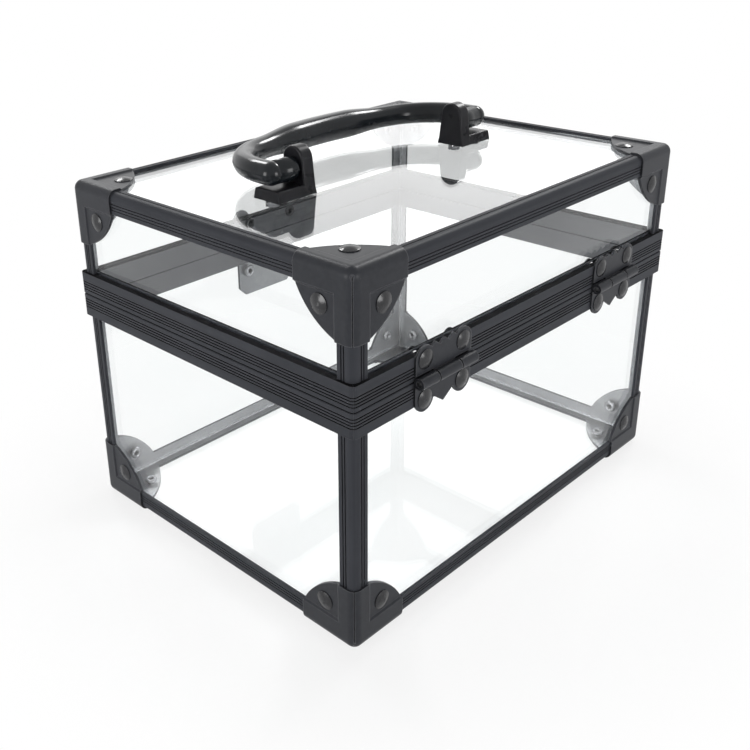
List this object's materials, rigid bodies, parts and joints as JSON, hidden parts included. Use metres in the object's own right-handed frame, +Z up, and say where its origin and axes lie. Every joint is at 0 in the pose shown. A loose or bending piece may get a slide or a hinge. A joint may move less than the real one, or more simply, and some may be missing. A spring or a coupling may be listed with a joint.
{
  "type": "makeup organizer",
  "caption": "Clear lidded makeup case: acrylic panels in a black metal frame with riveted corner caps, back hinges, a front hasp latch and a folding top handle.",
  "frame": {"origin": "centre of the case's footprint, on the surface that it stands on", "axes": "+X along the case's length, to the right as seen from the latch side; +Y towards the hinge side; +Z up"},
  "size_m": [0.223, 0.1786, 0.1777],
  "materials": {
    "clear_acrylic": "clear polished acrylic sheet",
    "frame_metal": "satin black anodised extrusion",
    "pressed_metal": "satin black pressed sheet",
    "rivet_metal": "black heads with bare rolled tails",
    "handle_plastic": "glossy black moulding",
    "bracket_plastic": "semi-gloss black moulding",
    "bare_steel": "bare drawn steel"
  },
  "bodies": {
    "base": {"base_bottom_panel": "clear_acrylic", "base_front_panel": "clear_acrylic", "base_back_panel": "clear_acrylic", "base_left_panel": "clear_acrylic", "base_right_panel": "clear_acrylic", "base_bottom_rail_front": "frame_metal", "base_bottom_rail_back": "frame_metal", "base_bottom_rail_left": "frame_metal", "base_bottom_rail_right": "frame_metal", "base_post_front_left": "frame_metal", "base_post_front_right": "frame_metal", "base_post_back_left": "frame_metal", "base_post_back_right": "frame_metal", "base_rim_front": "frame_metal", "base_rim_back": "frame_metal", "base_rim_left": "frame_metal", "base_rim_right": "frame_metal", "base_corner_front_left": "pressed_metal", "base_corner_front_right": "pressed_metal", "base_corner_back_left": "pressed_metal", "base_corner_back_right": "pressed_metal", "base_rivets": "rivet_metal", "hinge_left_lower_leaf": "pressed_metal", "hinge_right_lower_leaf": "pressed_metal", "hinge_pins": "bare_steel", "latch_keeper": "pressed_metal"},
    "lid": {"lid_top_panel": "clear_acrylic", "lid_front_panel": "clear_acrylic", "lid_back_panel": "clear_acrylic", "lid_left_panel": "clear_acrylic", "lid_right_panel": "clear_acrylic", "lid_top_rail_front": "frame_metal", "lid_top_rail_back": "frame_metal", "lid_top_rail_left": "frame_metal", "lid_top_rail_right": "frame_metal", "lid_post_front_left": "frame_metal", "lid_post_front_right": "frame_metal", "lid_post_back_left": "frame_metal", "lid_post_back_right": "frame_metal", "lid_rim_front": "frame_metal", "lid_rim_back": "frame_metal", "lid_rim_left": "frame_metal", "lid_rim_right": "frame_metal", "lid_corner_front_left": "pressed_metal", "lid_corner_front_right": "pressed_metal", "lid_corner_back_left": "pressed_metal", "lid_corner_back_right": "pressed_metal", "lid_rivets": "rivet_metal", "hinge_left_upper_leaf": "pressed_metal", "hinge_right_upper_leaf": "pressed_metal", "latch_lid_plate": "pressed_metal", "latch_pin": "bare_steel", "handle_bracket_left": "bracket_plastic", "handle_bracket_right": "bracket_plastic", "handle_screws": "rivet_metal"},
    "handle": {"handle_bail": "handle_plastic", "handle_pivot_pins": "rivet_metal"},
    "hasp": {"latch_hasp": "pressed_metal"}
  },
  "joints": [
    {"name": "lid_hinge", "type": "hinge", "parent": "base", "child": "lid", "pos_m": [0, 0.0869, 0.1066], "axis": [-1, 0, 0], "range_deg": [0, 170]},
    {"name": "handle_pivot", "type": "hinge", "parent": "lid", "child": "handle", "pos_m": [0, 0, 0.16855], "axis": [-1, 0, 0], "range_deg": [0, 181.4]},
    {"name": "hasp_hinge", "type": "hinge", "parent": "lid", "child": "hasp", "pos_m": [0, -0.0869, 0.1104], "axis": [-1, 0, 0], "range_deg": [0, 135]}
  ]
}
